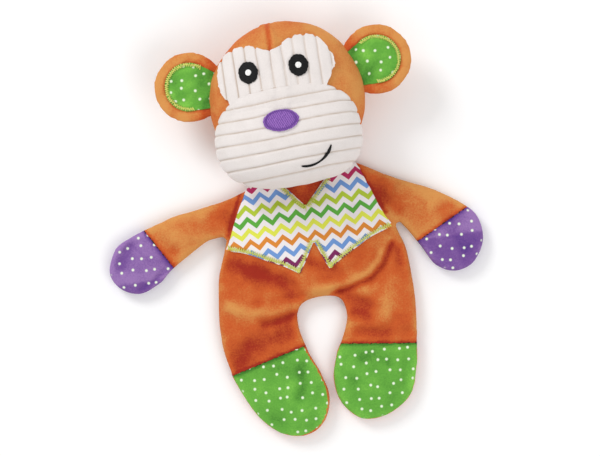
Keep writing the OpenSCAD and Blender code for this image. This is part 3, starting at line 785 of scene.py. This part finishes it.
# The muzzle: a plump, stuffed piece of the same corduroy with its wales across, sewn over the lower half of
# the face and tucked under the chin. Each wale rolls over at the sides.
muzzle_low, muzzle_high = (Vector(v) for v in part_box("muzzle"))
MUZZLE_HALF_LENGTH = 35 * MM
MUZZLE_HALF_DEPTH = 32 * MM
MUZZLE_HALF = Vector(((muzzle_high.x - muzzle_low.x) / 2, MUZZLE_HALF_LENGTH, MUZZLE_HALF_DEPTH))
MUZZLE_MIDDLE = Vector(((muzzle_low.x + muzzle_high.x) / 2, muzzle_low.y + MUZZLE_HALF.y,
                        muzzle_high.z - MUZZLE_HALF.z))
OVERHANG_MM = 4.6
SQUARENESS = 2.5
MUZZLE_WALE_MM = 8.6
muzzle = ball("muzzle_corduroy", MUZZLE_MIDDLE, MUZZLE_HALF, 160, 190)
grooves = []
for v in muzzle.data.vertices:
    out = v.co - MUZZLE_MIDDLE
    x, y, z = (out[k] / MUZZLE_HALF[k] for k in range(3))
    around = math.hypot(x, y)
    if around > 1e-6:
        fuller = around / (abs(x) ** SQUARENESS + abs(y) ** SQUARENESS) ** (1 / SQUARENESS)
        v.co.xy = MUZZLE_MIDDLE.xy + out.xy * fuller
    out = Vector((x / MUZZLE_HALF.x, y / MUZZLE_HALF.y, z / MUZZLE_HALF.z)).normalized()
    bend = 1.6 * math.sin(v.co.x / MM / 26) + 0.5 * noise.noise(v.co * 30)
    level = ((v.co.y - MUZZLE_MIDDLE.y) / MM - bend) / MUZZLE_WALE_MM
    under_chin = max(0, 1 - math.hypot(x, z) / 0.45) if y < 0 else 0
    high = 1 - (1 - float(wale(level * WALE_MM))) * (1 - min(1, 2 * under_chin))
    lumps = noise.noise(v.co * 35) * 1.2 + noise.noise(v.co * 120) * 0.3
    hit = skull.ray_cast(Vector((v.co.x, v.co.y, 0.12)), Vector((0, 0, -1)))[0] if out.z > -0.02 else None
    if hit:
        full = math.sqrt(min(1, max(0, out.z) / 0.6))
        v.co.z = max(v.co.z, hit.z + (OVERHANG_MM * full - 0.4) * MM)
    v.co += out * (lumps + 1.2 * (high - 1)) * MM
    grooves.append(1 - high)
mark_grooves(muzzle, grooves)
muzzle.data.materials.append(corduroy)
pick(muzzle)
bpy.ops.object.shade_smooth()
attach(muzzle, "head")
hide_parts("muzzle", "muzzle_stuffing")
face_top = surface_of(muzzle)
mask_top = surface_of(mask)


# The embroidery: satin stitches worked through the corduroy before it was sewn on. The nose is a purple
# oval with a raised border, the eyes are black with a white glint, and the smile is one slim black line.
RIDGE_MM = 1.085
MOTTLE_MM = 0.9


def embroidery(name, dark, light, angle):
    """Satin stitch at the given angle, in ridges coarser than real ones so that they show, with painted
    sheen.
    """
    made, tree, shader = new_material(name)
    where = node(tree, "TexCoord").outputs["Object"]
    turned = node(tree, "Mapping", {"Vector": where, "Rotation": (0, 0, math.radians(angle))}).outputs[0]
    rows = node(tree, "TexWave", {"Vector": turned, "Scale": per_mm(RIDGE_MM) * math.pi / 10,
                                  "Distortion": 2.5, "Detail": 2.0, "Detail Scale": 2.0}).outputs["Fac"]
    mottle = node(tree, "TexNoise", {"Vector": where, "Scale": per_mm(MOTTLE_MM), "Detail": 2.0}).outputs[0]
    # The satin is painted lighter along the ridges of its rows, a painted sheen, mottled at random.
    ridge_sheen = node(tree, "Math", {0: rows, 1: mottle}, operation="MULTIPLY").outputs[0]
    ridge_sheen = node(tree, "MapRange", {"Value": ridge_sheen, "From Min": 0.08, "From Max": 0.42}).outputs[0]
    colour = node(tree, "Mix", {0: ridge_sheen, 6: linear(dark), 7: linear(light)}, data_type="RGBA").outputs[2]
    # A dark line painted in the groove inside a raised border: painted shade.
    groove_shade = node(tree, "Attribute", attribute_name="groove").outputs["Fac"]
    groove_shade = node(tree, "Math", {0: groove_shade, 1: 0.8}, operation="MULTIPLY").outputs[0]
    colour = node(tree, "Mix", {0: groove_shade, 6: colour, 7: linear(dark)}, data_type="RGBA").outputs[2]
    tree.links.new(colour, shader.inputs["Base Color"])
    tree.links.new(node(tree, "Bump", {"Height": rows, "Strength": 0.6, "Distance": 0.25 * MM}).outputs[0],
                   shader.inputs["Normal"])
    shader.inputs["Roughness"].default_value = 0.6
    shader.inputs["Specular IOR Level"].default_value = 0.22
    return made


def oval(node_name):
    """The middle and half sizes, in millimetres, of an oval node."""
    low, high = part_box(node_name)
    middle = np.array([(low[k] + high[k]) / 2 / MM for k in (0, 1)])
    half = np.array([(high[k] - low[k]) / 2 / MM for k in (0, 1)])
    return middle, half


def stitched_oval(node_name, below, thickness, border, material, uneven=0.0):
    """An oval of satin stitch on a surface, with a raised border of the given width in millimetres."""
    middle, half = oval(node_name)
    around = np.linspace(0, 2 * math.pi, 72, endpoint=False)
    wobble = 1 + uneven * np.sin(around * 7 + 1) + uneven * np.sin(around * 17)
    loop = middle + np.stack([np.cos(around) * half[0], np.sin(around) * half[1]], axis=1) * wobble[:, None]

    def raised(points):
        rho = np.linalg.norm((points - middle) / half, axis=1)
        dome = 0.45 * (1 - np.clip(rho, 0, 1) ** 4)
        rim = border / half.mean() / 2
        return dome + 0.5 * np.exp(-((rho - 1 + rim) / rim) ** 2) if border else dome
    made = lay(node_name + "_satin", loop, 0.5, below, thickness, raised, bridging=60)
    spots = np.empty(len(made.data.vertices) * 3)
    made.data.attributes["cut"].data.foreach_get("vector", spots)
    rho = np.linalg.norm((spots.reshape(-1, 3)[:, :2] - middle) / half, axis=1)
    # The groove inside the border, kept for its painted shade.
    mark_grooves(made, np.exp(-((rho - 1 + border / half.mean()) / 0.08) ** 2) * (border > 0))
    stiffen(made, thickness + 0.6 * MM)
    made.data.materials.append(material)
    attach(made, "head")
    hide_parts(node_name)
    return made


purple_satin = embroidery("purple_embroidery", "#542C80", "#A877CB", 35)
black_satin = embroidery("black_embroidery", "#030303", "#101012", 80)
white_satin = embroidery("white_embroidery", "#E4E2DE", "#FFFFFF", 10)
stitched_oval("nose", face_top, 1.0 * MM, 1.7, purple_satin, uneven=0.012)
for side in SIDES:
    eye = stitched_oval(side + "_eye", mask_top, 0.9 * MM, 0, black_satin, uneven=0.02)
    stitched_oval(side + "_eye_glint", surface_of(eye), 0.35 * MM, 0, white_satin)

smile_low, smile_high = (Vector(v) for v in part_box("smile"))
SMILE_R_MM = 19
SMILE_W_MM = 2.2
outer = SMILE_R_MM + SMILE_W_MM / 2
turn = np.radians(np.linspace(-103, -22, 80))
line = np.stack([smile_high.x / MM - outer * math.cos(math.radians(20)) + SMILE_R_MM * np.cos(turn),
                 smile_low.y / MM + outer + SMILE_R_MM * np.sin(turn)], axis=1)
bpy.ops.object.select_all(action="DESELECT")
bpy.ops.curve.primitive_nurbs_path_add()
smile = bpy.context.object
smile.name = "smile_satin"
smile.data.splines.clear()
spline = smile.data.splines.new("POLY")
spline.points.add(len(line) - 1)
for k, (point, (x, y)) in enumerate(zip(spline.points, line)):
    hit, normal = drop_on(face_top, x, y)
    share = k / (len(line) - 1)
    point.co = (*(hit + normal * 0.25 * MM), 1)
    tips = 0.9 * max(0, share - 0.85) / 0.15 + 0.35 * max(0, 0.08 - share) / 0.08
    waist = 0.4 * math.exp(-((share - 0.5) / 0.16) ** 2)
    point.radius = 0.95 + 0.5 * share - tips - waist + 0.1 * math.sin(k * 1.9)
smile.data.bevel_depth, smile.data.bevel_resolution = 0.85 * MM, 3
smile.data.use_fill_caps = True
pick(smile)
bpy.ops.object.convert(target="MESH")
smile = bpy.context.object
bpy.ops.object.shade_smooth()
smile.data.materials.append(black_satin)
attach(smile, "head")
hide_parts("smile")


# The ears: two plush discs sewn together, turned, closed flat and set into the head by a gathered edge. The
# dotted green lining is sewn on the front with the same zigzag, which quilts the ear and leaves its rim
# plump.
EAR_SLAB = 3.2 * MM
EAR_CELL = 1.5 * MM
RIM_MM = 7.5
DISC_OUT_MM = 12.25
EAR_TURN = 128
LINING_TURN = 115


def arc(centre, radius, first, last, steps):
    """Points on an arc in millimetres, from one angle to another in degrees."""
    angles = np.radians(np.linspace(first, last, steps))
    return [tuple(centre + radius * np.array((math.cos(a), math.sin(a)))) for a in angles]


for side, sign in SIDES.items():
    ear_joint = joints[side + "_ear_fold"]
    root = np.array(ear_joint["pos_m"][:2]) / MM
    chord = Vector(ear_joint["axis"]).xy.normalized()
    out = np.array((chord.y, -chord.x))
    out = out if out[0] * sign > 0 else -out
    low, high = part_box(side + "_ear_front")
    radius = (high[1] - low[1]) / 2 / MM
    centre = root + out * DISC_OUT_MM
    facing = math.degrees(math.atan2(out[1], out[0]))
    aside = np.array((-out[1], out[0]))
    hidden = [tuple(root - 13 * out + k * 13 * aside) for k in (1, -1)]
    loop = np.array([*arc(centre, radius, facing - EAR_TURN, facing + EAR_TURN, 60), *hidden])
    ear = cut_flat(side + "_ear", loop, EAR_SLAB, EAR_CELL)
    ear_z = ear_joint["pos_m"][2]
    for v in ear.data.vertices:
        v.co.z += ear_z
    flat = np.array([v.co.xy for v in ear.data.vertices]) / MM
    lining_arc = arc(centre, radius - RIM_MM, facing - LINING_TURN, facing + LINING_TURN, 40)
    lining_loop = np.array([*lining_arc, *[tuple(root - 6 * out + k * 12 * aside) for k in (1, -1)]])
    from_lining = reach(list(lining_loop), flat)
    settle(ear, [int(i) for i in np.flatnonzero(from_lining < 1.0)], frames=14, pressure=3.0, shrink=-0.04,
           keep_flat=0.3, cap=3.2 * MM)
    place = np.array([v.co for v in ear.data.vertices]) / MM
    level = (place[:, 2] - ear_z / MM)
    across = (flat - root) @ out
    rim_height = 1.3 * np.clip(reach(list(loop), flat) / 2.5, 0, 1) * (reach(list(loop), flat) < RIM_MM)
    ruffle = np.array([noise.noise(Vector((s * 0.16, 7.0 * sign, 0))) for s in flat @ np.array(chord)])
    gather = 2.0 * ruffle * np.exp(-np.clip(across, 0, 99) / 6)
    place[:, 2] += np.sign(level) * (rim_height + np.exp(-np.clip(across, 0, 99) / 6) * 1.2) + gather
    hollow = np.exp(-(from_lining / 1.4) ** 2)
    lumps = np.array([noise.noise(Vector((x, y, 4)) / 11) for x, y in flat])
    place[:, 2] += 0.5 * lumps * (level > 0)
    # Painted shade: darker in the hollow along the lining's seam and where the ear is gathered into the head,
    # with random lumps.
    tone = 0.85 + 0.3 * lumps - 0.35 * hollow - 0.5 * np.exp(-np.clip(across, 0, 99) / 5)
    ear.data.vertices.foreach_set("co", (place * MM).ravel())
    ear.data.attributes.new("tone", "FLOAT", "POINT").data.foreach_set("value", tone)
    ear.vertex_groups.clear()
    apply(ear, "SUBSURF", levels=1, render_levels=1)
    facing_up = np.array([p.normal.z for p in ear.data.polygons]) > 0
    for face, chosen in (("front", facing_up), ("back", ~facing_up)):
        piece = take(ear, side + "_ear_" + face + "_cloth", np.flatnonzero(chosen))
        piece.data.materials.append(orange)
        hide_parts(side + "_ear_" + face)
        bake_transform(piece)
    ear_top = surface_of(ear)
    bpy.data.objects.remove(ear)
    lining = lay(side + "_ear_lining_cloth", lining_loop, 1.1, ear_top, 0.9 * MM)
    spots = np.array([v.co.xy for v in lining.data.vertices]) / MM
    inward = np.exp(-np.maximum(0, (spots - root) @ out) / 5)
    cloudy = np.array([noise.noise(Vector((x, y, 0)) / 9) for x, y in spots])
    # Painted shade: the lining darker towards the head, with random clouds.
    tone = 0.5 + 0.5 * cloudy - 0.4 * inward
    lining.data.attributes.new("tone", "FLOAT", "POINT").data.foreach_set("value", tone)
    stiffen(lining, 0.8 * MM)
    lining.data.materials.append(green)
    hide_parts(side + "_ear_lining")
    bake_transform(lining)
    sewn = arc(centre, radius - RIM_MM, facing + LINING_TURN - 2, facing - LINING_TURN + 2, 40)
    stitches = zigzag(side + "_ear_thread", [sewn[::-1]], ear_top, width=2.6, inset=1.0, lift=1.15 * MM)
    stitches.data.materials.append(thread_green)
    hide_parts(side + "_ear_stitching")
    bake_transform(stitches)


# A plain pale floor, soft studio light from above the head with a weaker one from the feet, and the camera
# straight above.
bpy.ops.object.select_all(action="DESELECT")
bpy.ops.mesh.primitive_plane_add(size=6)
floor = bpy.context.object
floor.name = "floor"
paper, tree, shader = new_material("pale_paper")
shader.inputs["Base Color"].default_value = linear("#FBFBFB")
shader.inputs["Roughness"].default_value = 0.9
floor.data.materials.append(paper)

LENS = 135
VIEW_W = 0.420
VIEW_MIDDLE = (-0.0052, -0.001)
VIEW_TURN = -8.6
view = bpy.data.cameras.new("camera")
view.lens = LENS
camera = bpy.data.objects.new("camera", view)
scene.collection.objects.link(camera)
scene.camera = camera
camera.location = (*VIEW_MIDDLE, VIEW_W * LENS / 36 + 0.02)
camera.rotation_euler = (0, 0, math.radians(VIEW_TURN))
for place, power, size in (((-0.9, 1.3, 1.2), 15, 0.7), ((0.8, -0.9, 1.5), 9.5, 1.2)):
    lamp = bpy.data.lights.new("softbox", "AREA")
    lamp.energy, lamp.size = power, size
    holder = bpy.data.objects.new("softbox", lamp)
    scene.collection.objects.link(holder)
    holder.location = place
    holder.rotation_euler = (Vector((0, 0, 0.03)) - Vector(place)).to_track_quat("-Z", "Y").to_euler()
studio = bpy.data.worlds.new("studio")
scene.world = studio
studio.use_nodes = True
studio.node_tree.nodes["Background"].inputs["Color"].default_value = (1, 1, 1, 1)
studio.node_tree.nodes["Background"].inputs["Strength"].default_value = 0.7
scene.view_settings.view_transform = "Standard"
